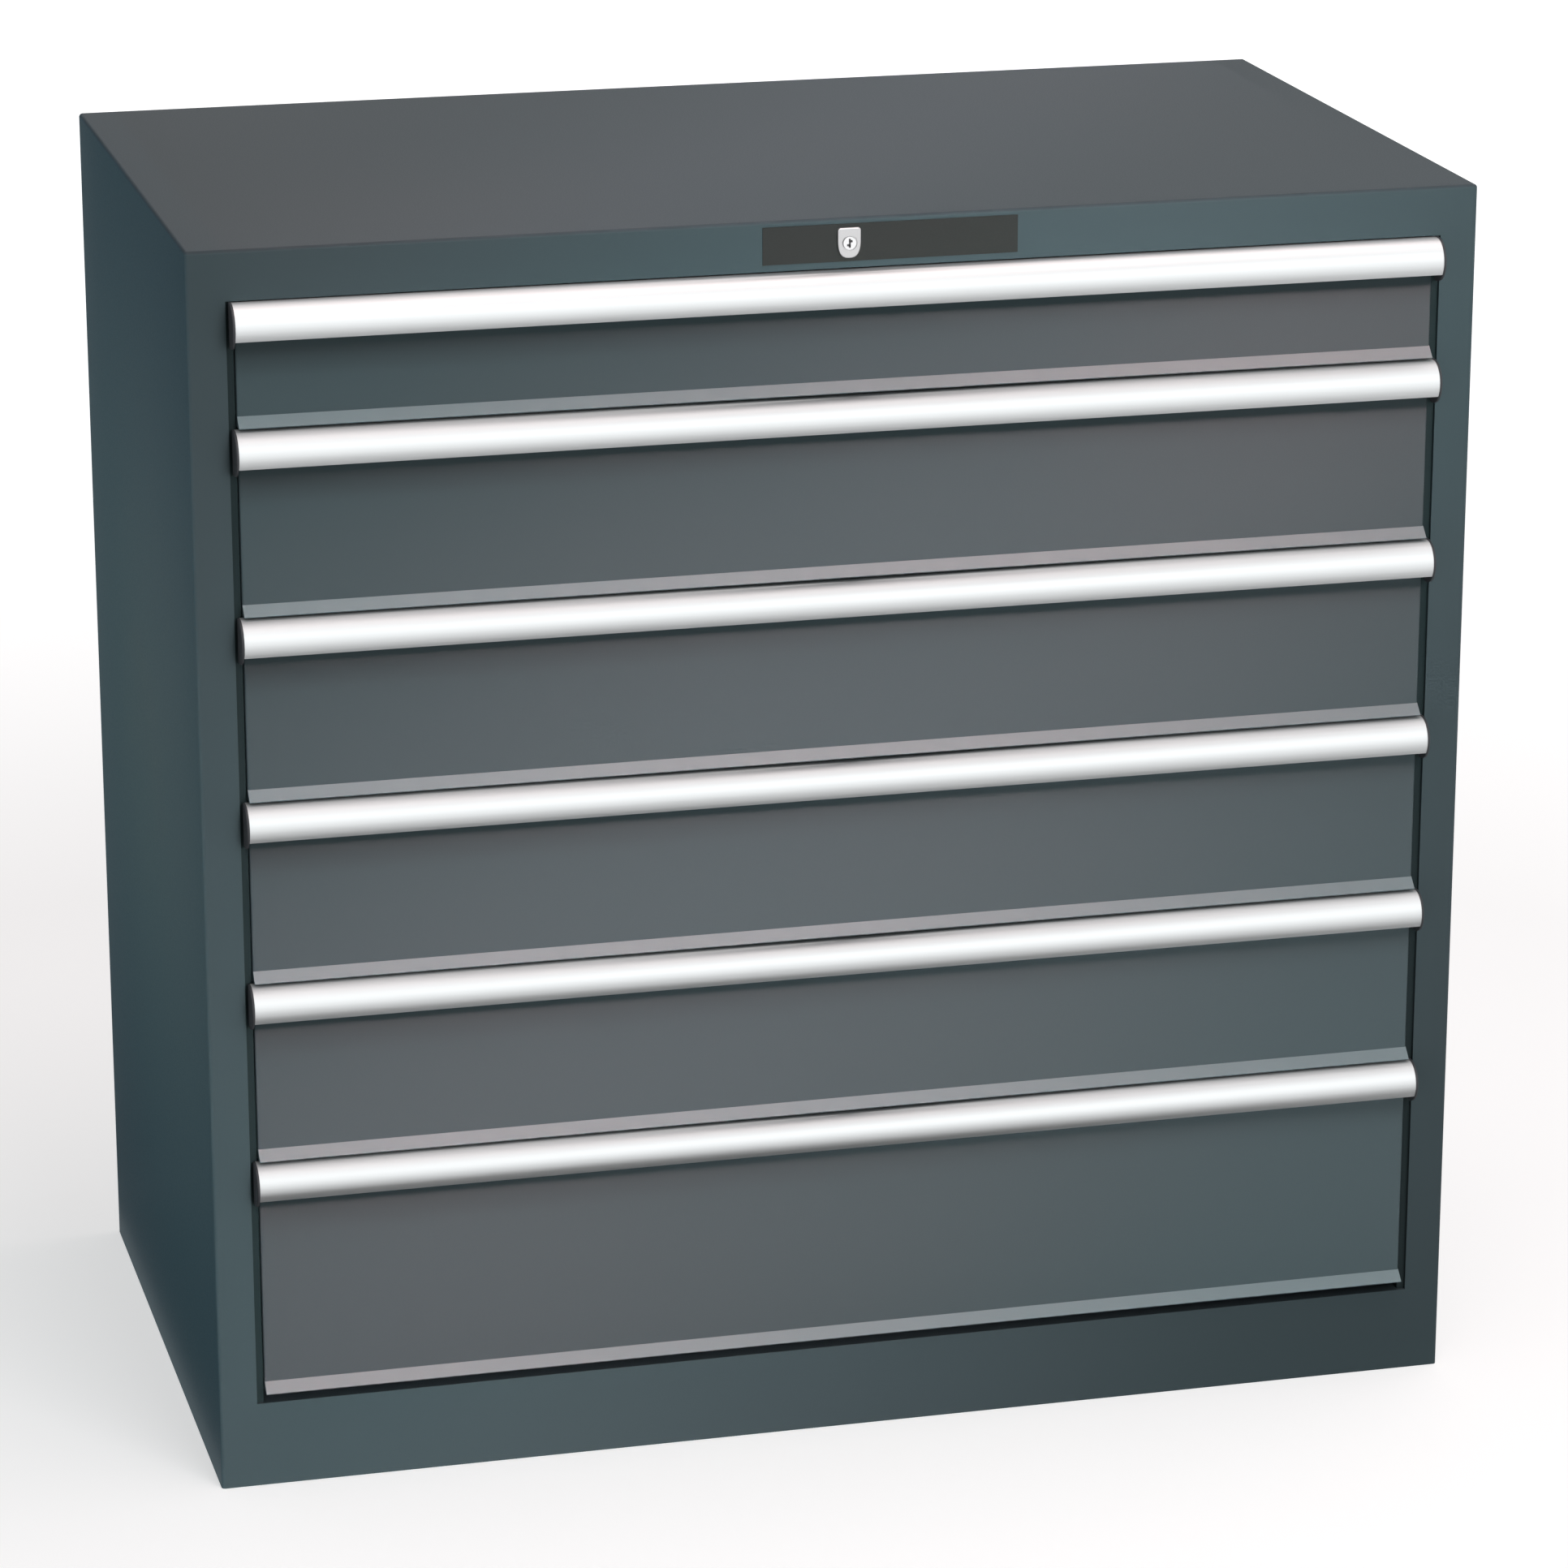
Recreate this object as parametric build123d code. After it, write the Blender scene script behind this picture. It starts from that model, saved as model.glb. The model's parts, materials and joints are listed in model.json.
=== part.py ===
from build123d import *
import math
import os

# Industrial drawer cabinet: a folded steel housing, six drawers on telescopic rails, and a lock whose
# shaft turns a crank and lifts a bar behind the drawers.
# Millimetres, +Z up, the drawers open towards -Y. The origin is on the floor, in the middle of the outer box.

# Housing
housing_width = 1023
housing_depth = 572
housing_height = 1000
housing_sheet = 1.5
fold_radius = 1.5
stile_width = 30
plinth_height = 70
lock_rail_height = 39
sill_depth = 28
base_flange = 25
foot_width = 45
anchor_radius = 6.5
anchor_inset = 24
anchor_setback = 90

# Slotted uprights
upright_width = 44
upright_sheet = 2
upright_setback = 0.5
upright_gap = 0.6
slot_width = 5
slot_height = 12

# Drawer stack, in slot steps from the top drawer down
drawer_steps = [4, 6, 6, 6, 6, 8]
sill_gap = 8
head_gap = 1

# Drawer fronts
front_sheet = 1.2
front_depth = 18
front_gap = 2
side_gap = 6.5
front_rounding = 1.5
lip_height = 8.5
lip_reach = 9
lip_rounding = 0.5

# Handle rails and their end caps
grip_radius = 17
grip_flat = 3.5
grip_wall = 2.2
grip_wrap_degrees = 38
grip_edge = 0.8
handle_plate = 2
handle_height = 28
handle_overhang = 2.5
hang_gap = 1
hang_height = 3
cap_thickness = 2
cap_margin = 0.5
cap_rounding = 0.8

# Trays
tray_sheet = 1.2
tray_floor_gap = 6
tray_headroom = 20
tray_rim = 8
rear_space = 84

# Telescopic rails
rail_sheet = 2
fixed_rail_height = 44
fixed_rail_flange = 13
middle_rail_flange = 12.4
rail_side_gap = 0.5
rail_run_gap = 0.3
rail_tip_gap = 3.7
rail_setback = 2
tab_gap = 0.4
tab_nose = 2
tab_drop = 4

# Lock cover and lock body
cover_left = 68
cover_right = 135
cover_low_margin = 5
cover_high_margin = 4.5
cover_fit = 0.15
cover_proud = 0.5
cover_rim = 1.2
cover_back = 2
shield_width = 18.3
shield_height = 23.6
shield_thickness = 2.5
shield_shoulder_share = 0.42
shield_rounding = 2.2
shield_edge = 0.8
barrel_radius = 8
barrel_length = 26
barrel_fit = 0.1
cylinder_radius = 5
cylinder_proud = 0.8
cylinder_gap = 0.15
bezel_width = 1
bezel_depth = 0.9
keyway_width = 1.6
keyway_height = 7
keyway_depth = 12
ward_width = 1.4
ward_height = 1.8
ward_rise = 1.5

# Lock shaft, crank and lock bar
shaft_radius = 4
shaft_gap = 0.15
bracket_width = 30
bracket_sheet = 2
bracket_foot = 16
bracket_margin = 6
bracket_setback = 12
crank_throw = 8.5
crank_radius = 12.5
crank_thickness = 4
crank_gap = 1
crank_fit = 0.05
crank_rest_degrees = -45
pin_radius = 3
pin_play = 0.6
bar_width = 26
bar_thickness = 3
bar_standoff = 22
bar_margin = 6
bar_tail = 15
hook_reach = 20
hook_width = 12
hook_sheet = 3
hook_play = 1
catch_height = 43
catch_width = 24
catch_sheet = 2
catch_play = 2
tooth_height = 8
guide_count = 3
guide_height = 20
guide_width = 46
guide_lip = 4
guide_gap = 0.3
guide_grip = 5

# Cuts run past the faces that they open by this much
overrun = 5

# Places that follow from the sizes above
handle_reach = grip_flat + grip_radius + cap_margin
front = (handle_reach - housing_depth) / 2
back = front + housing_depth
front_inner = front + housing_sheet
back_inner = back - housing_sheet
side_inner = housing_width / 2 - housing_sheet
top_inner = housing_height - housing_sheet
opening_half = housing_width / 2 - stile_width
sill = plinth_height
head = housing_height - lock_rail_height
base_top = sill - housing_sheet
corner_clear = fold_radius + upright_setback
hang_lip = housing_sheet + corner_clear - hang_gap
stack_low = sill + sill_gap
slot_step = (head - head_gap - stack_low) / sum(drawer_steps)
front_half = opening_half - side_gap
handle_half = front_half + handle_overhang

tray_front = front + front_depth
tray_back = back - rear_space
upright_face = front_half + upright_gap
front_upright_low = front_inner + corner_clear
rear_upright_low = back_inner - corner_clear - upright_width
fixed_web = upright_face - rail_sheet
middle_face = fixed_web - rail_side_gap
middle_tip = middle_face - middle_rail_flange
tray_half = middle_tip - rail_tip_gap - rail_sheet
drawer_rail_tip = middle_face - rail_sheet - rail_tip_gap
middle_rail_height = fixed_rail_height - 2 * (rail_sheet + rail_run_gap)
drawer_rail_height = middle_rail_height - 2 * (rail_sheet + rail_run_gap)
rail_front = tray_front + rail_setback

cover_low = head + cover_low_margin
cover_high = housing_height - cover_high_margin
cover_face = front - cover_proud
lock_height = (cover_low + cover_high) / 2
shield_face = cover_face - shield_thickness
barrel_end = front_inner + barrel_length
cylinder_face = shield_face - cylinder_proud

crank_swing = math.radians(crank_rest_degrees)
pin_x = crank_throw * math.cos(crank_swing)
pin_height = lock_height + crank_throw * math.sin(crank_swing)
bar_lift = -2 * crank_throw * math.sin(crank_swing)
bar_back = back_inner - bar_standoff
bar_front = bar_back - bar_thickness
crank_back = bar_front - crank_gap
crank_front = crank_back - crank_thickness
bar_middle = (pin_x + crank_throw) / 2
tooth_front = bar_front - hook_reach + hook_sheet + catch_play
tooth_back = tooth_front + catch_sheet


def drawer_top(index):
    return head - head_gap - slot_step * sum(drawer_steps[:index])


def drawer_low(index):
    return drawer_top(index + 1)


def front_low(index):
    return drawer_low(index) + front_gap


def front_top(index):
    return drawer_top(index) - hang_height


def tray_low(index):
    return drawer_low(index) + tray_floor_gap


def tray_top(index):
    return drawer_top(index) - tray_headroom


def rail_height(index):
    return drawer_low(index) + slot_step


def catch_low(index):
    return tray_low(index) + catch_height


def block(x_low, x_high, y_low, y_high, z_low, z_high):
    middle = Pos((x_low + x_high) / 2, (y_low + y_high) / 2, (z_low + z_high) / 2)
    return middle * Box(x_high - x_low, y_high - y_low, z_high - z_low)


def folded(points, thickness):
    # Outline of a bent sheet: one face follows the points, and the other lies to the right of that line.
    normals = []
    for (a, b), (c, d) in zip(points, points[1:]):
        length = math.hypot(c - a, d - b)
        normals.append(((d - b) / length, (a - c) / length))
    before = [normals[0], *normals]
    after = [*normals, normals[-1]]
    other = []
    for (a, b), (p, q), (r, s) in zip(points, before, after):
        reach = thickness / (1 + p * r + q * s)
        other.append((a + reach * (p + r), b + reach * (q + s)))
    return [*points, *reversed(other)]


def outline_face(outline):
    return make_face(Polyline(*outline, close=True))


def along_x(face, low, high):
    # The face is drawn in (y, z).
    return extrude(Pos(low, 0, 0) * (Plane.YZ * face), high - low, dir=(1, 0, 0))


def along_y(face, low, high):
    # The face is drawn in (x, z).
    return extrude(Pos(0, low, 0) * (Plane.XZ * face), high - low, dir=(0, 1, 0))


def along_z(face, low, high):
    # The face is drawn in (x, y).
    return extrude(Pos(0, 0, low) * face, high - low, dir=(0, 0, 1))


def rod(radius, x, z, low, high):
    # A round bar along Y.
    return along_y(Pos(x, z) * Circle(radius), low, high)


def left_of(shape):
    return mirror(shape, about=Plane.YZ)


def pair(shape):
    return Compound([shape.solid(), left_of(shape).solid()])


def rounded_housing(inset, low):
    half = housing_width / 2 - inset
    body = block(-half, half, front + inset, back - inset, low, housing_height - inset)
    edges = body.edges().filter_by(Axis.Z) + body.edges().group_by(Axis.Z)[-1]
    return fillet(edges, fold_radius + housing_sheet - inset)


def housing_shell():
    shell = rounded_housing(0, 0) - rounded_housing(housing_sheet, -overrun)
    return shell - block(-opening_half, opening_half, front - overrun, front_inner + overrun, sill, head)


def right_side_panel(shell):
    beyond = housing_width / 2 + overrun
    panel = shell & block(opening_half, beyond, front - overrun, back + overrun, 0, housing_height + overrun)
    foot_low = front_inner + corner_clear
    foot_high = back_inner - corner_clear
    panel += block(side_inner - foot_width, side_inner, foot_low, foot_high, 0, housing_sheet)
    for y in (front + anchor_setback, back - anchor_setback):
        hole = Pos(side_inner - anchor_inset, y, 0) * Cylinder(anchor_radius, 2 * (housing_sheet + overrun))
        panel -= hole
    return panel


def middle_of(shell, y_low, y_high, z_low, z_high):
    return shell & block(-opening_half, opening_half, y_low, y_high, z_low, z_high)


def top_panel(shell):
    panel = middle_of(shell, front - overrun, back + overrun, head, housing_height + overrun)
    window = block(
        -cover_left, cover_right, front - overrun, front_inner + overrun, cover_low, cover_high
    )
    return panel - window


def back_panel(shell):
    return middle_of(shell, back_inner - overrun, back + overrun, 0, head)


def plinth_panel(shell):
    panel = middle_of(shell, front - overrun, front_inner + overrun, 0, sill)
    return panel + block(-opening_half, opening_half, front, front + sill_depth, base_top, sill)


def base_panel():
    pan = block(-side_inner, side_inner, front_inner, back_inner, base_top - base_flange, base_top)
    pan = fillet(pan.edges().filter_by(Axis.Z), fold_radius + upright_setback)
    hollow = block(
        housing_sheet - side_inner,
        side_inner - housing_sheet,
        front_inner + housing_sheet,
        back_inner - housing_sheet,
        base_top - base_flange - overrun,
        base_top - housing_sheet,
    )
    hollow = fillet(hollow.edges().filter_by(Axis.Z), upright_setback)
    return pan - hollow


def right_upright(y_low):
    y_high = y_low + upright_width
    path = [(side_inner, y_low), (upright_face, y_low), (upright_face, y_high), (side_inner, y_high)]
    post = along_z(outline_face(folded(path, upright_sheet)), sill, top_inner - corner_clear)
    y = y_low + upright_width / 2
    slots = []
    for step in range(sum(drawer_steps)):
        z = stack_low + slot_step * step
        x_low = upright_face - overrun
        x_high = upright_face + upright_sheet + overrun
        y_half = slot_width / 2
        slots.append(block(x_low, x_high, y - y_half, y + y_half, z - slot_height / 2, z + slot_height / 2))
    return post - slots


def rail_tab(y, z):
    # A hook that passes through a slot of the upright, rests on its lower edge and drops behind the web.
    y_half = slot_width / 2 - tab_gap
    rest = z - slot_height / 2
    nose = upright_face + upright_sheet + tab_gap
    tab = block(fixed_web, nose + tab_nose, y - y_half, y + y_half, rest, rest + slot_height - tab_drop)
    return tab + block(nose, nose + tab_nose, y - y_half, y + y_half, rest - tab_drop, rest)


def fixed_rails(index):
    z = rail_height(index)
    half = fixed_rail_height / 2
    tip = upright_face - fixed_rail_flange
    path = [(tip, z + half), (upright_face, z + half), (upright_face, z - half), (tip, z - half)]
    rail = along_y(outline_face(folded(path, rail_sheet)), rail_front, rear_upright_low + upright_width)
    for y_low in (front_upright_low, rear_upright_low):
        rail += rail_tab(y_low + upright_width / 2, z)
    return pair(rail)


def middle_rails(index):
    z = rail_height(index)
    half = middle_rail_height / 2
    path = [(middle_tip, z + half), (middle_face, z + half), (middle_face, z - half), (middle_tip, z - half)]
    return pair(along_y(outline_face(folded(path, rail_sheet)), rail_front, tray_back))


def drawer_rails(index):
    z = rail_height(index)
    half = drawer_rail_height / 2
    tip = drawer_rail_tip
    path = [(tip, z - half), (tray_half, z - half), (tray_half, z + half), (tip, z + half)]
    return pair(along_y(outline_face(folded(path, rail_sheet)), rail_front, tray_back))


def tray(index):
    low = tray_low(index)
    top = tray_top(index)
    box = block(-tray_half, tray_half, tray_front, tray_back, low, top)
    inner_half = tray_half - tray_sheet
    box -= block(
        -inner_half,
        inner_half,
        tray_front + tray_sheet,
        tray_back - tray_sheet,
        low + tray_sheet,
        top + overrun,
    )
    box += block(-tray_half, tray_half, tray_front, tray_front + tray_sheet, low, front_top(index))
    for side in (-1, 1):
        edges = sorted((side * tray_half, side * (tray_half + tray_rim)))
        box += block(*edges, tray_front, tray_back, top - tray_sheet, top)
    z = catch_low(index)
    x_low = bar_middle - catch_width / 2
    x_high = bar_middle + catch_width / 2
    box += block(x_low, x_high, tray_back, tooth_back, z, z + catch_sheet)
    return box + block(x_low, x_high, tooth_front, tooth_back, z - tooth_height, z)


def drawer_front(index):
    # A pan that is open at the back, with a lip that flares forwards along its lower edge.
    low = front_low(index)
    top = front_top(index)
    bend = low + lip_height
    path = [(tray_front, low), (front - lip_reach, low), (front, bend), (front, top), (tray_front, top)]
    panel = block(-front_half, front_half, front, tray_front, low, top)
    panel = fillet(panel.edges().filter_by(Axis.Z).group_by(Axis.Y)[0], front_rounding)
    root = front + front_rounding
    lip = outline_face([(root, low), (front - lip_reach, low), (front, bend), (root, bend)])
    lip = fillet(lip.vertices().group_by(Axis.X)[0], lip_rounding)
    panel += along_x(lip, -front_half, front_half)
    inner = folded(path, front_sheet)[len(path) :]
    mouth = [(tray_front + overrun, top - front_sheet), *inner, (tray_front + overrun, low + front_sheet)]
    inner_half = front_half - front_sheet
    return panel - along_x(outline_face(mouth), -inner_half, inner_half)


def handle(index):
    top = drawer_top(index)
    seat = front_top(index)
    plate_low = top - handle_height
    plate_face = front - handle_plate
    centre = (front - grip_flat, top - grip_radius)
    inner_radius = grip_radius - grip_wall
    sweep = 90 + grip_wrap_degrees
    outer = CenterArc(centre, grip_radius, 90, sweep)
    inner = CenterArc(centre, inner_radius, 90, sweep)
    back_line = Polyline(
        inner @ 0,
        (plate_face, top - grip_wall),
        (plate_face, plate_low),
        (front, plate_low),
        (front, seat),
        (front + hang_lip, seat),
        (front + hang_lip, top),
        outer @ 0,
    )
    section = make_face([outer, Line(outer @ 1, inner @ 1), inner, back_line])
    tip = (outer @ 1 + inner @ 1) / 2
    section = fillet(section.vertices().sort_by_distance(tip)[:2], grip_edge)
    return along_x(section, -handle_half, handle_half)


def handle_caps(index):
    top = drawer_top(index) + cap_margin
    radius = grip_radius + cap_margin
    centre = (front - grip_flat, top - radius)
    nose = CenterArc(centre, radius, 90, 180)
    rest = Polyline(nose @ 1, (front, top - 2 * radius), (front, top), nose @ 0)
    cap = along_x(make_face([nose, rest]), handle_half, handle_half + cap_thickness)
    rim = cap.faces().sort_by(Axis.X)[-1].edges()
    return pair(fillet(rim, cap_rounding))


def lock_cover():
    face = block(
        cover_fit - cover_left,
        cover_right - cover_fit,
        cover_face,
        front_inner,
        cover_low + cover_fit,
        cover_high - cover_fit,
    )
    face += block(
        -cover_left - cover_rim,
        cover_right + cover_rim,
        front_inner,
        front_inner + cover_back,
        cover_low - cover_rim,
        cover_high + cover_rim,
    )
    return face - rod(barrel_radius + barrel_fit, 0, lock_height, front - overrun, barrel_end)


def lock_body():
    # A shield-shaped face with a sunk ring round the cylinder, and its barrel, cast in one piece.
    half = shield_width / 2
    top = lock_height + shield_height / 2
    low = top - shield_height
    shoulder = top - shield_height * shield_shoulder_share
    round_end = Spline((half, shoulder), (0, low), (-half, shoulder), tangents=((0, -1), (0, 1)))
    rest = Polyline((-half, shoulder), (-half, top), (half, top), (half, shoulder))
    face = make_face([round_end, rest])
    face = fillet(face.vertices().group_by(Axis.Y)[-1], shield_rounding)
    shield = along_y(face, shield_face, cover_face)
    shield = fillet(shield.faces().sort_by(Axis.Y)[0].edges(), shield_edge)
    shield += rod(barrel_radius, 0, lock_height, cover_face, barrel_end)
    bore = cylinder_radius + cylinder_gap
    shield -= rod(bore, 0, lock_height, front - overrun, barrel_end + overrun)
    return shield - rod(bore + bezel_width, 0, lock_height, front - overrun, shield_face + bezel_depth)


def lock_cylinder():
    plug = rod(cylinder_radius, 0, lock_height, cylinder_face, barrel_end)
    half = keyway_width / 2
    low = lock_height - keyway_height / 2
    high = lock_height + keyway_height / 2
    end = cylinder_face + keyway_depth
    plug -= block(-half, half, cylinder_face - overrun, end, low, high)
    ward_half = ward_height / 2
    for side in (-1, 1):
        edges = sorted((side * half, side * (half + ward_width)))
        z = lock_height + side * ward_rise
        plug -= block(*edges, cylinder_face - overrun, end, z - ward_half, z + ward_half)
    return plug


def lock_shaft():
    return rod(shaft_radius, 0, lock_height, barrel_end, crank_back)


def lock_shaft_bracket():
    # A hanger under the top panel that carries the rear end of the shaft.
    half = bracket_width / 2
    y_high = crank_front - bracket_setback
    y_low = y_high - bracket_sheet
    z_low = lock_height - shaft_radius - bracket_margin
    hanger = block(-half, half, y_low, y_high, z_low, top_inner)
    hanger += block(-half, half, y_high - bracket_foot, y_high, top_inner - bracket_sheet, top_inner)
    return hanger - rod(shaft_radius + shaft_gap, 0, lock_height, y_low - overrun, y_high + overrun)


def lock_crank():
    disc = rod(crank_radius, 0, lock_height, crank_front, crank_back)
    disc -= rod(shaft_radius + crank_fit, 0, lock_height, crank_front - overrun, crank_back + overrun)
    return disc + rod(pin_radius, pin_x, pin_height, crank_back, bar_back + crank_gap)


def lock_bar():
    half = bar_width / 2
    hook_half = hook_width / 2
    last = len(drawer_steps) - 1
    arm_drop = tooth_height + hook_play + bar_lift
    low = catch_low(last) - arm_drop - hook_sheet - bar_tail
    slot_half = pin_radius + pin_play
    high = pin_height + slot_half + bar_margin
    bar = block(bar_middle - half, bar_middle + half, bar_front, bar_back, low, high)
    bar -= block(
        pin_x - slot_half,
        crank_throw + slot_half,
        bar_front - overrun,
        bar_back + overrun,
        pin_height - slot_half,
        pin_height + slot_half,
    )
    x_low = bar_middle - hook_half
    x_high = bar_middle + hook_half
    claw_front = bar_front - hook_reach
    for index in range(len(drawer_steps)):
        arm_top = catch_low(index) - arm_drop
        claw_top = catch_low(index) - hook_play - bar_lift
        bar += block(x_low, x_high, claw_front, bar_front, arm_top - hook_sheet, arm_top)
        bar += block(x_low, x_high, claw_front, claw_front + hook_sheet, arm_top, claw_top)
    return bar


def lock_bar_guides():
    half = guide_width / 2
    groove = bar_width / 2 + guide_gap
    mouth = bar_width / 2 - guide_grip
    guides = []
    for place in range(guide_count):
        index = round(place * (len(drawer_steps) - 1) / (guide_count - 1))
        middle = (catch_low(index) + drawer_top(index)) / 2
        low = middle - guide_height / 2
        high = middle + guide_height / 2
        y_low = bar_front - guide_lip
        guide = block(bar_middle - half, bar_middle + half, y_low, back_inner, low, high)
        guide -= block(
            bar_middle - groove,
            bar_middle + groove,
            bar_front - guide_gap,
            bar_back + guide_gap,
            low - overrun,
            high + overrun,
        )
        guide -= block(
            bar_middle - mouth,
            bar_middle + mouth,
            y_low - overrun,
            bar_front,
            low - overrun,
            high + overrun,
        )
        guides.append(guide.solid())
    return Compound(guides)


def drawer_pieces(index):
    name = f"drawer_{index + 1}"
    return {
        f"{name}_tray": tray(index),
        f"{name}_front": drawer_front(index),
        f"{name}_handle": handle(index),
        f"{name}_handle_caps": handle_caps(index),
        f"{name}_fixed_rails": fixed_rails(index),
        f"{name}_middle_rails": middle_rails(index),
        f"{name}_drawer_rails": drawer_rails(index),
    }


def cabinet():
    shell = housing_shell()
    side = right_side_panel(shell)
    front_upright = right_upright(front_upright_low)
    rear_upright = right_upright(rear_upright_low)
    pieces = {
        "right_side_panel": side,
        "left_side_panel": left_of(side),
        "top_panel": top_panel(shell),
        "back_panel": back_panel(shell),
        "plinth_panel": plinth_panel(shell),
        "base_panel": base_panel(),
        "front_right_upright": front_upright,
        "front_left_upright": left_of(front_upright),
        "rear_right_upright": rear_upright,
        "rear_left_upright": left_of(rear_upright),
        "lock_cover": lock_cover(),
        "lock_body": lock_body(),
        "lock_cylinder": lock_cylinder(),
        "lock_shaft": lock_shaft(),
        "lock_shaft_bracket": lock_shaft_bracket(),
        "lock_crank": lock_crank(),
        "lock_bar": lock_bar(),
        "lock_bar_guides": lock_bar_guides(),
    }
    for index in range(len(drawer_steps)):
        pieces.update(drawer_pieces(index))
    return pieces


os.makedirs("parts", exist_ok=True)
for node, shape in cabinet().items():
    export_step(shape, f"parts/{node}.step")
print("bar lift", round(bar_lift, 3), "slot step", slot_step, "front face at", front)
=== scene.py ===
import json
import math

import bmesh
import bpy
from mathutils import Matrix, Quaternion, Vector

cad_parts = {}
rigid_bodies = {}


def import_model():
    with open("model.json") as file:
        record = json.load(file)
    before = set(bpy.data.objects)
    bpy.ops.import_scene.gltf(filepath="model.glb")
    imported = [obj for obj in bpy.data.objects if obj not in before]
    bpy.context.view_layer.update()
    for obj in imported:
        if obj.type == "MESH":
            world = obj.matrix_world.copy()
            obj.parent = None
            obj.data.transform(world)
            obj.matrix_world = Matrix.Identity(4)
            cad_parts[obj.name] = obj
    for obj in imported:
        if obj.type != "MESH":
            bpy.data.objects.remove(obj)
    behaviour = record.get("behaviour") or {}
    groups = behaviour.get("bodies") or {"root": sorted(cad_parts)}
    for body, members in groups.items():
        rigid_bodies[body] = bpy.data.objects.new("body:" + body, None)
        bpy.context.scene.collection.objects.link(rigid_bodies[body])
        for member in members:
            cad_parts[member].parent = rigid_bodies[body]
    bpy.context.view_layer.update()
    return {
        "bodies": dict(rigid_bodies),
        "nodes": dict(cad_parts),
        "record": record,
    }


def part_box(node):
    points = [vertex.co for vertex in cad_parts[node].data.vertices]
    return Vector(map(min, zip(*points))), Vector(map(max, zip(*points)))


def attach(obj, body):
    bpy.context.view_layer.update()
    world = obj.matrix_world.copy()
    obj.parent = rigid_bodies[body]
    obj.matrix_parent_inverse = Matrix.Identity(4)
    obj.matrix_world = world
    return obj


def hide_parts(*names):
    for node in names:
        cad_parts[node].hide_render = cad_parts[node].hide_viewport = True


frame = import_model()
nodes = frame["nodes"]
slotOf = {part["node"]: part["material_slot"] for part in frame["record"]["subparts"]}
print("frame loaded:", len(nodes), "nodes")


# finishes: small helpers that every material below uses

noiseSpan = (0.3, 0.7)  # most of a noise lies in here


def startFinish(name, **sockets):
    material = bpy.data.materials.new(name)
    material.use_nodes = True
    tree = material.node_tree
    shader = tree.nodes["Principled BSDF"]
    for socket, value in sockets.items():
        shader.inputs[socket.replace("_", " ")].default_value = value
    return material, tree, shader


def objectPlace(tree):
    return tree.nodes.new("ShaderNodeTexCoord").outputs["Object"]


def addNoise(tree, scale, detail, stretch=(1, 1, 1)):
    mapping = tree.nodes.new("ShaderNodeMapping")
    mapping.inputs["Scale"].default_value = stretch
    noise = tree.nodes.new("ShaderNodeTexNoise")
    noise.inputs["Scale"].default_value = scale
    noise.inputs["Detail"].default_value = detail
    tree.links.new(objectPlace(tree), mapping.inputs["Vector"])
    tree.links.new(mapping.outputs["Vector"], noise.inputs["Vector"])
    return noise.outputs["Fac"]


def addRange(tree, source, ends, span=noiseSpan):
    # the source's span is mapped onto the two ends
    spread = tree.nodes.new("ShaderNodeMapRange")
    for socket, value in zip(("From Min", "From Max", "To Min", "To Max"), (*span, *ends)):
        spread.inputs[socket].default_value = value
    tree.links.new(source, spread.inputs["Value"])
    return spread.outputs["Result"]


def addMath(tree, operation, first, second):
    step = tree.nodes.new("ShaderNodeMath")
    step.operation = operation
    tree.links.new(first, step.inputs[0])
    tree.links.new(second, step.inputs[1])
    return step.outputs["Value"]


def addTones(tree, source, stops):
    ramp = tree.nodes.new("ShaderNodeValToRGB")
    for element, (place, colour) in zip(ramp.color_ramp.elements, stops):
        element.position = place
        element.color = (*colour, 1)
    tree.links.new(source, ramp.inputs["Fac"])
    return ramp.outputs["Color"]


def addBump(tree, shader, source, strength, depth):
    bump = tree.nodes.new("ShaderNodeBump")
    bump.inputs["Strength"].default_value = strength
    bump.inputs["Distance"].default_value = depth
    tree.links.new(source, bump.inputs["Height"])
    tree.links.new(bump.outputs["Normal"], shader.inputs["Normal"])


# powder coat: a fine even skin, with broad slow changes of tone; the upward faces and the uprights carry
# painted light and shade

housingCoat = {
    "name": "anthracite_housing_coat",
    "tones": [(0.35, (0.047, 0.074, 0.082)), (0.65, (0.055, 0.078, 0.086))],
    "upward_painted_light": [(0.35, (0.039, 0.053, 0.061)), (0.65, (0.043, 0.055, 0.062))],  # the top: painted shade and sheen, darker and less blue than the sides
    "drift": 1.6,  # tone changes per metre
    "roughness": (0.48, 0.56),
    "gloss": 0.06,
    "skin": 900,  # orange peel bumps per metre
    "bump": (0.35, 0.00012),  # strength, and depth in metres
}
frontCoat = {
    "name": "anthracite_front_coat",
    "tones": [(0.35, (0.054, 0.085, 0.094)), (0.65, (0.062, 0.088, 0.096))],
    "upward_painted_light": [(0.35, (0.150, 0.195, 0.207)), (0.65, (0.158, 0.201, 0.213))],  # the lips: painted highlight, paler than the faces
    "drift": 1.3,
    "roughness": (0.42, 0.50),
    "gloss": 0.12,
    "skin": 900,
    "bump": (0.35, 0.00012),
}
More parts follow.
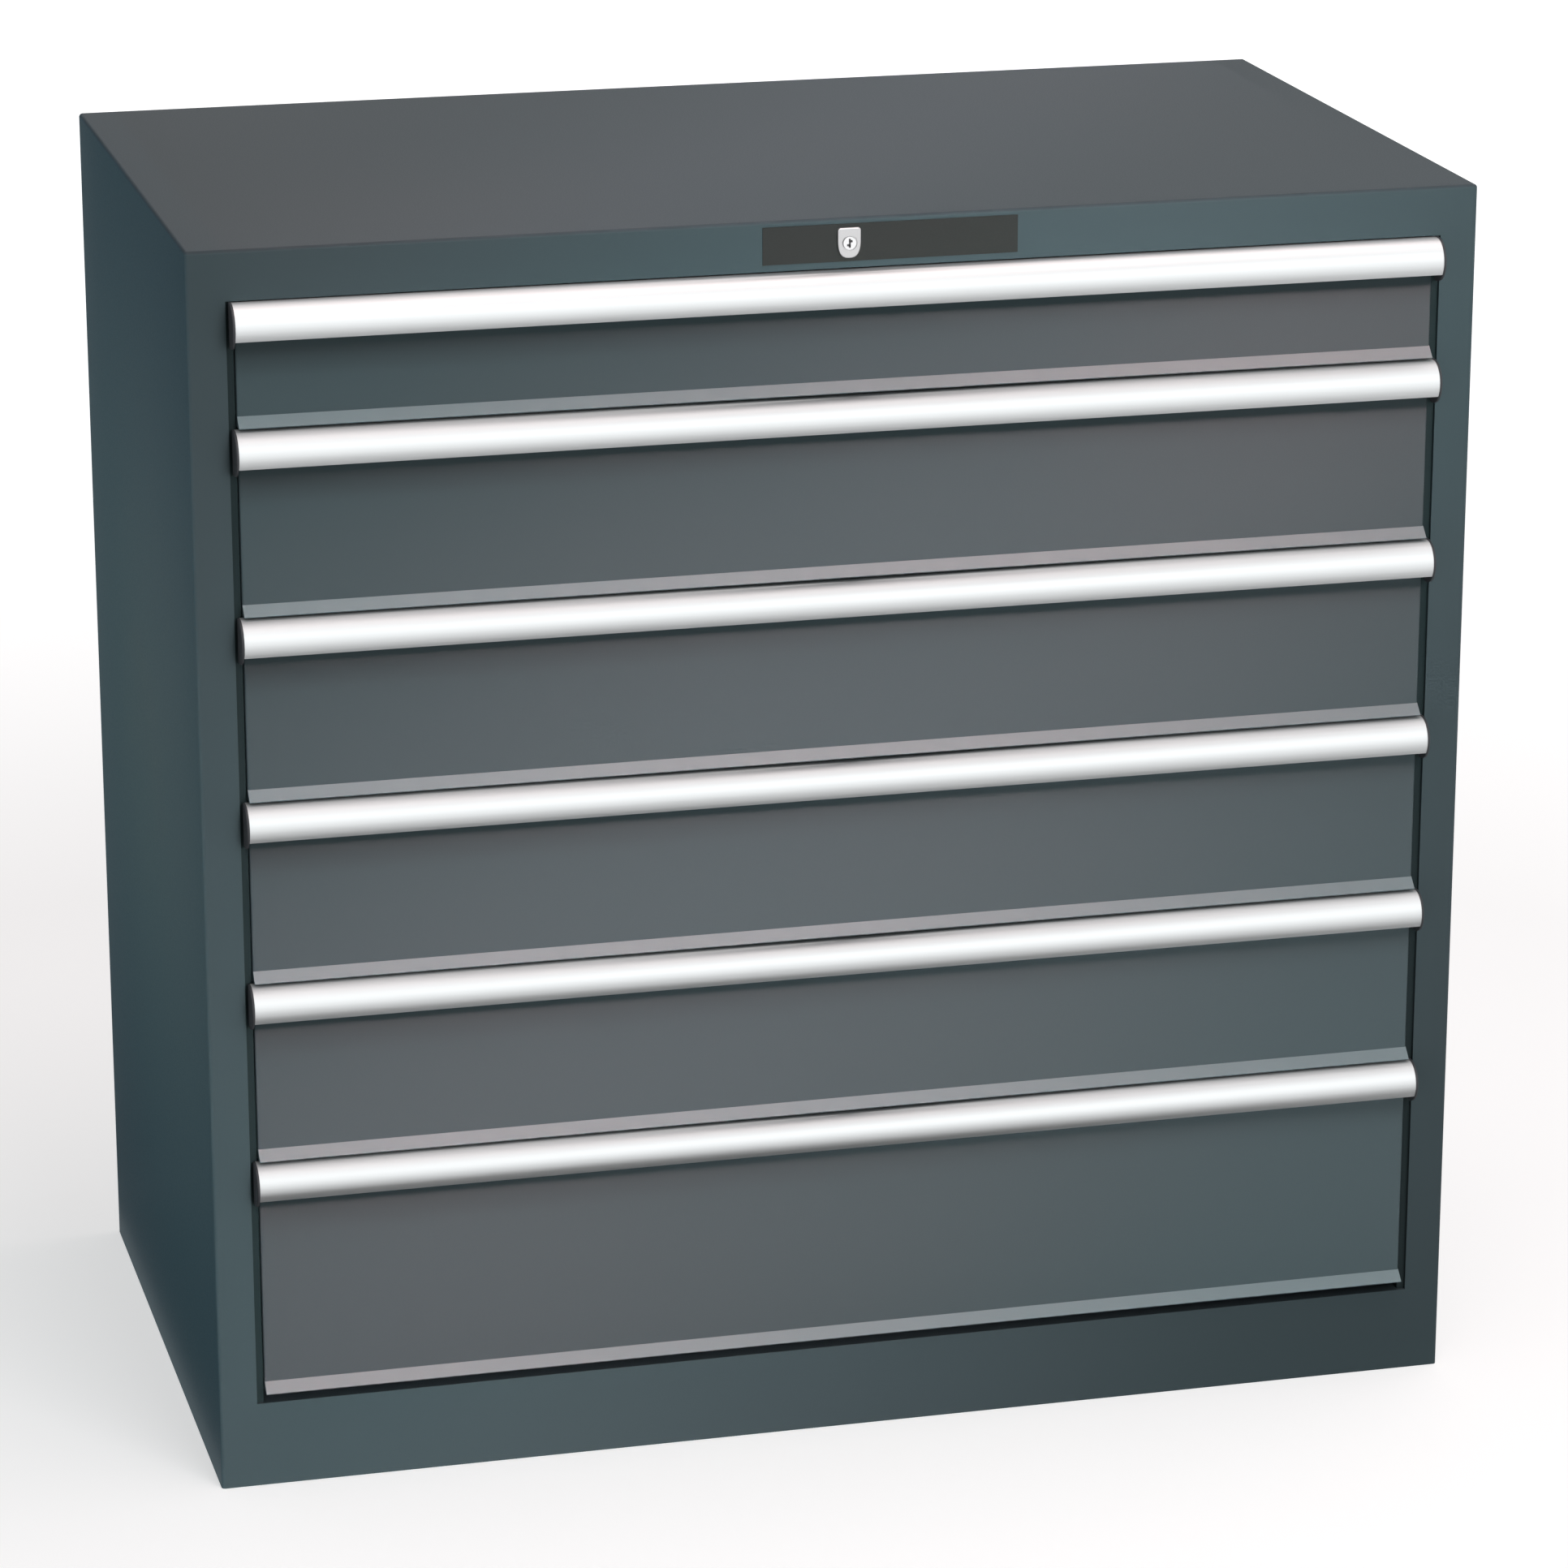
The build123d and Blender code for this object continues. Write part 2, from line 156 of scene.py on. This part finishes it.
# the uprights: the housing's anthracite darkened, painted shade for the gaps beside the drawer fronts
uprightShadeCoat = {
    "name": "upright_coat_painted_shade",
    "tones": [(0.35, (0.019, 0.032, 0.034)), (0.65, (0.023, 0.034, 0.036))],
    "drift": 2.0,
    "roughness": (0.5, 0.6),
    "gloss": 0.03,
    "skin": 900,
    "bump": (0.35, 0.00012),
}
trayCoat = {
    "name": "light_grey_tray_coat",
    "tones": [(0.35, (0.42, 0.44, 0.45)), (0.65, (0.46, 0.475, 0.485))],
    "drift": 3.0,
    "roughness": (0.42, 0.52),
    "gloss": 0.4,
    "skin": 800,
    "bump": (0.35, 0.00015),
}
paintedLightRise = (0.3, 0.6)  # rise of the normal, from none of the painted light tone to all of it


def paintUpwardLight(tree, colour, upward_painted_light):
    # painted light: faces that look upwards take the other tone, set by the rise of their normal
    slope = tree.nodes.new("ShaderNodeNewGeometry")
    split = tree.nodes.new("ShaderNodeSeparateXYZ")
    tree.links.new(slope.outputs["Normal"], split.inputs["Vector"])
    mix = tree.nodes.new("ShaderNodeMix")
    mix.data_type = "RGBA"
    tree.links.new(addRange(tree, split.outputs["Z"], (0, 1), paintedLightRise), mix.inputs["Factor"])
    tree.links.new(colour, mix.inputs["A"])
    tree.links.new(upward_painted_light, mix.inputs["B"])
    return mix.outputs["Result"]


def powderCoat(coat):
    material, tree, shader = startFinish(coat["name"], Specular_IOR_Level=coat["gloss"])
    drift = addNoise(tree, coat["drift"], detail=1.0)
    colour = addTones(tree, drift, coat["tones"])
    if "upward_painted_light" in coat:
        colour = paintUpwardLight(tree, colour, addTones(tree, drift, coat["upward_painted_light"]))
    tree.links.new(colour, shader.inputs["Base Color"])
    skin = addNoise(tree, coat["skin"], detail=2.0)
    tree.links.new(addRange(tree, skin, coat["roughness"]), shader.inputs["Roughness"])
    addBump(tree, shader, skin, *coat["bump"])
    return material


# drawn, plated and cast metal

handleMetal = {
    "name": "satin_aluminium",
    "tones": [(0.3, (0.555, 0.572, 0.578)), (0.7, (0.605, 0.622, 0.628))],
    "roughness": (0.56, 0.62),
    "anisotropy": 0.4,
    "lines": 260,  # drawing lines per metre across the rail
    "stretch": (0.012, 1, 1),
    "bump": (0.08, 0.0001),
}
zincMetal = {
    "name": "zinc_plated_steel",
    "tones": [(0.3, (0.50, 0.51, 0.52)), (0.7, (0.62, 0.63, 0.64))],
    "roughness": (0.34, 0.5),
    "spangle": 90,  # crystals per metre
    "grain": 1500,
    "bump": (0.1, 0.0001),
}
railMetal = {
    "name": "black_zinc_rail_steel",
    "tones": [(0.3, (0.085, 0.087, 0.09)), (0.7, (0.115, 0.117, 0.12))],
    "roughness": (0.38, 0.5),
    "spangle": 140,
    "grain": 1500,
    "bump": (0.1, 0.0001),
}
lockMetal = {
    "name": "satin_nickel",
    "tones": [(0.3, (0.42, 0.42, 0.425)), (0.7, (0.50, 0.50, 0.505))],
    "roughness": (0.34, 0.42),
    "grain": 2600,
    "bump": (0.1, 0.00005),
}
cylinderMetal = {
    "name": "bright_nickel",
    "tones": [(0.3, (0.62, 0.62, 0.625)), (0.7, (0.70, 0.70, 0.705))],
    "roughness": (0.26, 0.34),
    "grain": 2600,
    "bump": (0.1, 0.00005),
}


def addSurface(tree, shader, source, finish):
    # one noise drives tone, roughness and bump
    tree.links.new(addTones(tree, source, finish["tones"]), shader.inputs["Base Color"])
    tree.links.new(addRange(tree, source, finish["roughness"]), shader.inputs["Roughness"])
    addBump(tree, shader, source, *finish["bump"])


def drawnMetal(metal):
    material, tree, shader = startFinish(metal["name"], Metallic=1.0, Anisotropic=metal["anisotropy"])
    addSurface(tree, shader, addNoise(tree, metal["lines"], detail=4.0, stretch=metal["stretch"]), metal)
    return material


def platedMetal(metal):
    material, tree, shader = startFinish(metal["name"], Metallic=1.0)
    spangle = tree.nodes.new("ShaderNodeTexVoronoi")
    spangle.inputs["Scale"].default_value = metal["spangle"]
    tree.links.new(objectPlace(tree), spangle.inputs["Vector"])
    shade = tree.nodes.new("ShaderNodeSeparateColor")
    tree.links.new(spangle.outputs["Color"], shade.inputs["Color"])
    tree.links.new(addTones(tree, shade.outputs["Red"], metal["tones"]), shader.inputs["Base Color"])
    roughness = addRange(tree, shade.outputs["Green"], metal["roughness"], (0, 1))
    tree.links.new(roughness, shader.inputs["Roughness"])
    addBump(tree, shader, addNoise(tree, metal["grain"], detail=2.0), *metal["bump"])
    return material


def castMetal(metal):
    material, tree, shader = startFinish(metal["name"], Metallic=1.0)
    addSurface(tree, shader, addNoise(tree, metal["grain"], detail=3.0), metal)
    return material


# moulded plastics with a fine spark-eroded grain

capPlastic = {
    "name": "dark_grey_cap_plastic",
    "tones": [(0.3, (0.045, 0.049, 0.055)), (0.7, (0.056, 0.060, 0.066))],
    "roughness": (0.42, 0.55),
    "gloss": 0.25,
    "grain": 2200,
    "bump": (0.25, 0.0001),
}
coverPlastic = {
    "name": "black_cover_plastic",
    "tones": [(0.3, (0.017, 0.0205, 0.0195)), (0.7, (0.022, 0.0255, 0.0245))],
    "roughness": (0.5, 0.62),
    "gloss": 0.2,
    "grain": 2400,
    "bump": (0.25, 0.0001),
}
guidePlastic = {
    "name": "natural_guide_plastic",
    "tones": [(0.3, (0.66, 0.66, 0.63)), (0.7, (0.72, 0.72, 0.69))],
    "roughness": (0.35, 0.45),
    "gloss": 0.4,
    "grain": 1800,
    "bump": (0.25, 0.0001),
}


def mouldedPlastic(plastic):
    material, tree, shader = startFinish(plastic["name"], Specular_IOR_Level=plastic["gloss"])
    addSurface(tree, shader, addNoise(tree, plastic["grain"], detail=3.0), plastic)
    return material


finishes = {
    "housing_paint": powderCoat(housingCoat),
    "front_paint": powderCoat(frontCoat),
    "tray_paint": powderCoat(trayCoat),
    "zinc_steel": platedMetal(zincMetal),
    "rail_steel": platedMetal(railMetal),
    "handle_aluminium": drawnMetal(handleMetal),
    "cap_plastic": mouldedPlastic(capPlastic),
    "cover_plastic": mouldedPlastic(coverPlastic),
    "lock_chrome": castMetal(lockMetal),
    "guide_plastic": mouldedPlastic(guidePlastic),
}
ownFinishes = {"lock_cylinder": castMetal(cylinderMetal)}
# painted shade on all four uprights
uprightPaintedShade = powderCoat(uprightShadeCoat)
for corner in ("front_left", "front_right", "rear_left", "rear_right"):
    ownFinishes[corner + "_upright"] = uprightPaintedShade
for name, piece in nodes.items():
    piece.data.materials.clear()
    piece.data.materials.append(ownFinishes.get(name, finishes[slotOf[name]]))
print("finishes on", len(nodes), "nodes")


# drawer trays: folded sheet, with rows of slots for partitions in all four walls

trayForm = {
    "half": 0.455,
    "front": -0.2575,
    "back": 0.2125,
    "sheet": 0.0012,
    "rim": 0.008,  # folded out along both sides
    "upstand": 0.017,  # the front wall stands above the rims
    "pitch": 0.017,
    "row": 0.036,
    "land": 0.0065,  # metal left round each slot
    "catchSpan": (-0.00474, 0.01926),
    "catchRise": 0.045,
    "catchDrop": 0.010,
    "catchSheet": 0.002,
    "weld": 0.00001,  # corners closer than this become one
}


def addGrid(bm, middle, across, up, columns, rows):
    # a flat grid; across and up are half its width and half its height
    before = len(bm.faces)
    across, up = Vector(across), Vector(up)
    place = Matrix((across, up, across.cross(up).normalized())).transposed().to_4x4()
    place.translation = middle
    bmesh.ops.create_grid(bm, x_segments=columns, y_segments=rows, size=1, matrix=place)
    bm.faces.ensure_lookup_table()
    return bm.faces[before:]


def foldTray(drawer):
    form = trayForm
    low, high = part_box(drawer + "_tray")
    half, front, back = form["half"], form["front"], form["back"]
    rimHeight = high.z - form["upstand"] - form["sheet"]
    depth, middleY = (back - front) / 2, (back + front) / 2
    rise, middleZ = (rimHeight - low.z) / 2, (rimHeight + low.z) / 2
    columns, deep = round(2 * half / form["pitch"]), round(2 * depth / form["pitch"])
    rows = round(2 * rise / form["row"])
    up, inward = (0, 0, rise), (0, -depth, 0)
    bm = bmesh.new()
    walls = []
    for side in (-1, 1):
        walls += addGrid(bm, (side * half, middleY, middleZ), (0, side * depth, 0), up, deep, rows)
    walls += addGrid(bm, (0, front, middleZ), (half, 0, 0), up, columns, rows)
    walls += addGrid(bm, (0, back, middleZ), (-half, 0, 0), up, columns, rows)
    bmesh.ops.inset_individual(bm, faces=walls, thickness=form["land"], depth=0, use_even_offset=True)
    bmesh.ops.delete(bm, geom=walls, context="FACES")  # inset, these faces are the slots
    addGrid(bm, (0, middleY, low.z), (half, 0, 0), inward, columns, deep)
    reach = form["rim"] / 2
    for side in (-1, 1):
        addGrid(bm, (side * (half + reach), middleY, rimHeight), (reach, 0, 0), inward, 1, deep)
    upstand = (high.z - rimHeight) / 2
    addGrid(bm, (0, front, rimHeight + upstand), (half, 0, 0), (0, 0, upstand), columns, 1)
    bmesh.ops.remove_doubles(bm, verts=bm.verts[:], dist=form["weld"])
    bmesh.ops.solidify(bm, geom=bm.faces[:], thickness=form["sheet"])
    foldCatch(bm, low.z + form["catchRise"], high.y)
    orderFaces(bm)
    mesh = bpy.data.meshes.new(drawer + "_slotted_tray")
    bm.to_mesh(mesh)
    bm.free()
    mesh.materials.append(finishes["tray_paint"])
    piece = bpy.data.objects.new(drawer + "_slotted_tray", mesh)
    bpy.context.scene.collection.objects.link(piece)
    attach(piece, drawer)
    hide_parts(drawer + "_tray")
    return len(mesh.polygons)


def foldCatch(bm, top, end):
    # the tongue behind the rear wall that the lock bar hooks
    form = trayForm
    left, right = form["catchSpan"]
    half, middle = (right - left) / 2, (right + left) / 2
    reach, drop = (end - form["back"]) / 2, form["catchDrop"] / 2
    shelf = addGrid(bm, (middle, end - reach, top), (half, 0, 0), (0, reach, 0), 1, 1)
    tooth = addGrid(bm, (middle, end, top - drop), (-half, 0, 0), (0, 0, drop), 1, 1)
    corners = list(dict.fromkeys(corner for face in shelf + tooth for corner in face.verts))
    bmesh.ops.remove_doubles(bm, verts=corners, dist=form["weld"])
    bm.faces.ensure_lookup_table()
    bmesh.ops.solidify(bm, geom=bm.faces[-2:], thickness=form["catchSheet"])


def orderFaces(bm):
    # solidify adds the edges of the sheet in no fixed order
    bm.verts.index_update()
    ordered = sorted(bm.faces, key=lambda face: [corner.index for corner in face.verts])
    for place, face in enumerate(ordered):
        face.index = place
    bm.faces.sort()


drawers = [body for body in frame["bodies"] if body + "_tray" in nodes]
print("slotted trays:", [foldTray(drawer) for drawer in drawers])


# floor: pale, keeps the shadow near the cabinet and glows to white further out

floorSheet = {
    "half": 30.0,
    "colour": (0.585, 0.60, 0.605),
    "roughness": 0.9,
    "gloss": 0.1,
    "glow": (0.55, 1.0),
    "glowSpan": (1.3, 4.0),  # metres from the middle
}


def laySheet(name, corners, material):
    mesh = bpy.data.meshes.new(name)
    mesh.from_pydata(corners, [], [(0, 1, 2, 3)])
    mesh.materials.append(material)
    sheet = bpy.data.objects.new(name, mesh)
    bpy.context.scene.collection.objects.link(sheet)
    return sheet


def seenRays(tree):
    # 1 for what the camera, mirrors and glass see, 0 for light
    path = tree.nodes.new("ShaderNodeLightPath")
    total = path.outputs["Is Camera Ray"]
    for ray in ("Is Glossy Ray", "Is Transmission Ray"):
        total = addMath(tree, "MAXIMUM", total, path.outputs[ray])
    return total


def layFloor():
    white = (1, 1, 1, 1)
    material, tree, shader = startFinish(
        "pale_floor",
        Base_Color=(*floorSheet["colour"], 1),
        Roughness=floorSheet["roughness"],
        Specular_IOR_Level=floorSheet["gloss"],
        Emission_Color=white,
    )
    reach = tree.nodes.new("ShaderNodeVectorMath")
    reach.operation = "LENGTH"
    tree.links.new(objectPlace(tree), reach.inputs[0])
    glow = addRange(tree, reach.outputs["Value"], floorSheet["glow"], floorSheet["glowSpan"])
    tree.links.new(addMath(tree, "MULTIPLY", seenRays(tree), glow), shader.inputs["Emission Strength"])
    half = floorSheet["half"]
    corners = [(-half, -half, 0), (half, -half, 0), (half, half, 0), (-half, half, 0)]
    floor = laySheet("floor_sheet", corners, material)


layFloor()


# dark flags that the camera doesn't see, for reflections in the metal's underside and in the left side

flagShade = (0.02, 0.02, 0.02, 1)
flagLow = 0.004  # just above the floor
darkFlags = [
    {
        "name": "floor_flag",
        "corners": [(-2.4, -0.56, flagLow), (2.4, -0.56, flagLow),
                    (2.4, -0.30, flagLow), (-2.4, -0.30, flagLow)],
        "diffuse": False,
    },
    {
        "name": "side_flag",
        "corners": [(-3.0, 0.4, flagLow), (-0.53, 0.4, flagLow), (-0.53, 0.4, 2.4), (-3.0, 0.4, 2.4)],
        "diffuse": False,
    },
    {
        "name": "left_flag",
        "corners": [(-1.6, -0.29, flagLow), (-0.53, -0.29, flagLow),
                    (-0.53, 0.39, flagLow), (-1.6, 0.39, flagLow)],
        "diffuse": True,  # also keeps the floor's light off the foot of the left side
    },
]


def hangFlag(card):
    material, tree, shader = startFinish(
        card["name"], Base_Color=flagShade, Roughness=1.0, Specular_IOR_Level=0.0
    )
    face = tree.nodes.new("ShaderNodeNewGeometry")
    clear = addRange(tree, face.outputs["Backfacing"], (1, 0), (0, 1))  # clear from behind
    tree.links.new(clear, shader.inputs["Alpha"])
    flag = laySheet(card["name"], card["corners"], material)
    flag.visible_camera = False
    flag.visible_diffuse = card["diffuse"]
    flag.visible_transmission = False
    flag.visible_shadow = False


for card in darkFlags:
    hangFlag(card)


# white room: full white to the eye and in reflections, softer as a light

room = {"light": 0.30, "seen": 1.0}


def paintRoom():
    world = bpy.data.worlds.new("white_room")
    bpy.context.scene.world = world
    world.use_nodes = True
    tree = world.node_tree
    background = tree.nodes["Background"]
    background.inputs["Color"].default_value = (1, 1, 1, 1)
    strength = addRange(tree, seenRays(tree), (room["light"], room["seen"]), (0, 1))
    tree.links.new(strength, background.inputs["Strength"])


paintRoom()
print("stage set:", len(darkFlags), "flags")


# lamps: softboxes, and slim beams for the glows. Most light only the nodes in onto, or all but those in past

housingFaces = [
    "left_side_panel", "right_side_panel", "top_panel", "plinth_panel", "base_panel",
    "front_left_upright", "front_right_upright", "lock_cover",
]
leftFace, topFace = ["left_side_panel"], ["top_panel"]
drawerFaces = [name for name in nodes if name.endswith("_front")]
handleFaces = [name for name in nodes if name.endswith("_handle")]
lamps = [
    {"name": "key_softbox", "at": (0.9, -4.2, 2.65), "aim": (0, 0, 0.45),
     "size": (2.4, 3.0), "watts": 87, "past": drawerFaces},
    {"name": "front_softbox", "at": (0.88, -4.15, 5.05), "aim": (0, -0.28, 0.5),
     "size": (3.0, 2.6), "watts": 186, "onto": drawerFaces},  # high, for the shadows under the handles
    {"name": "top_softbox", "at": (0.6, -0.6, 4.4), "aim": (0.2, -0.4, 0.5),
     "size": (3.2, 1.2), "watts": 68, "colour": (1.0, 0.82, 0.80)},
    {"name": "left_softbox", "at": (-3.6, 0.2, 1.3), "aim": (-0.5, 0.05, 0.52),
     "size": (1.2, 1.2), "watts": 3.6, "spread": 34, "colour": (0.41, 0.78, 1.0), "onto": leftFace},
    {"name": "side_beam", "at": (-3.6, 0.05, 1.0), "aim": (-0.51, 0.0, 0.53),
     "size": (0.6, 0.5), "watts": 0.6, "spread": 16, "colour": (1.0, 0.63, 0.35), "onto": leftFace},
    {"name": "top_beam", "at": (0.05, 0.0, 4.4), "aim": (0.05, 0.01, 1.0), "lean": 51,
     "size": (1.6, 0.2), "watts": 0.9, "spread": 12, "colour": (1.0, 0.70, 0.70), "onto": topFace},
    {"name": "low_softbox", "at": (1.5, -3.3, 0.45), "aim": (0.36, -0.27, 0.17),
     "size": (0.9, 0.5), "watts": 0.95, "spread": 22, "colour": (1.0, 0.97, 0.98), "onto": drawerFaces},
    {"name": "lip_softbox", "at": (-1.0, -2.2, 4.0), "aim": (-0.42, -0.28, 0.5),
     "size": (0.8, 0.5), "watts": 0.5, "spread": 16, "colour": (0.85, 0.96, 1.0), "onto": drawerFaces},
    {"name": "front_beam", "at": (0.20, -3.1, 2.45), "aim": (-0.05, -0.27, 0.54), "lean": 39,
     "size": (2.2, 0.3), "watts": 5.3, "spread": 17.5, "colour": (1.0, 0.54, 0.51), "onto": drawerFaces},
    {"name": "housing_beam", "at": (0.18, -3.6, 1.30), "aim": (-0.10, -0.27, 0.5), "lean": 57,
     "size": (2.2, 0.25), "watts": 4.9, "spread": 23, "colour": (0.93, 0.84, 0.83), "onto": housingFaces},
    {"name": "handle_softbox", "at": (0.3, -3.8, 0.30), "aim": (0, -0.29, 0.6),
     "size": (3.0, 0.6), "watts": 12, "onto": handleFaces, "glossy": True},
]


def placeLamp(lamp):
    data = bpy.data.lights.new(lamp["name"], "AREA")
    data.shape = "RECTANGLE"
    data.size, data.size_y = lamp["size"]
    data.energy = lamp["watts"]
    data.color = lamp.get("colour", (1, 1, 1))
    data.spread = math.radians(lamp.get("spread", 180))
    light = bpy.data.objects.new(lamp["name"], data)
    light.location = lamp["at"]
    towards = (Vector(lamp["aim"]) - Vector(lamp["at"])).to_track_quat("-Z", "Y")
    lean = Quaternion((0, 0, 1), math.radians(lamp.get("lean", 0)))
    light.rotation_euler = (towards @ lean).to_euler()
    light.visible_camera = False
    bpy.context.scene.collection.objects.link(light)
    if "onto" in lamp:
        light.visible_glossy = lamp.get("glossy", False)  # paint takes the light without a streak
        linkLamp(light, lamp["onto"], "INCLUDE")
    if "past" in lamp:
        linkLamp(light, lamp["past"], "EXCLUDE")


def linkLamp(light, names, state):
    linked = bpy.data.collections.new(light.name + "_nodes")
    for name in names:
        linked.objects.link(nodes[name])
    for entry in linked.collection_objects:
        entry.light_linking.link_state = state
    light.light_linking.receiver_collection = linked


for lamp in lamps:
    placeLamp(lamp)
print("lamps:", len(lamps))


# camera: in front, to the left and above

camera = {
    "target": (0.0224, 0.0105, 0.4588),
    "distance": 4.883,
    "azimuth": -14.39,
    "elevation": 17.30,
    "lens": 133.83,
    "sensor": 36,
}


def placeCamera():
    turn, rise = math.radians(camera["azimuth"]), math.radians(camera["elevation"])
    back = Vector((math.sin(turn) * math.cos(rise), -math.cos(turn) * math.cos(rise), math.sin(rise)))
    data = bpy.data.cameras.new("camera")
    data.lens = camera["lens"]
    data.sensor_width = camera["sensor"]
    eye = bpy.data.objects.new("camera", data)
    eye.location = Vector(camera["target"]) + back * camera["distance"]
    eye.rotation_euler = (-back).to_track_quat("-Z", "Y").to_euler()
    bpy.context.scene.collection.objects.link(eye)
    bpy.context.scene.camera = eye


placeCamera()
bpy.context.scene.view_settings.view_transform = "Standard"
print("camera placed")
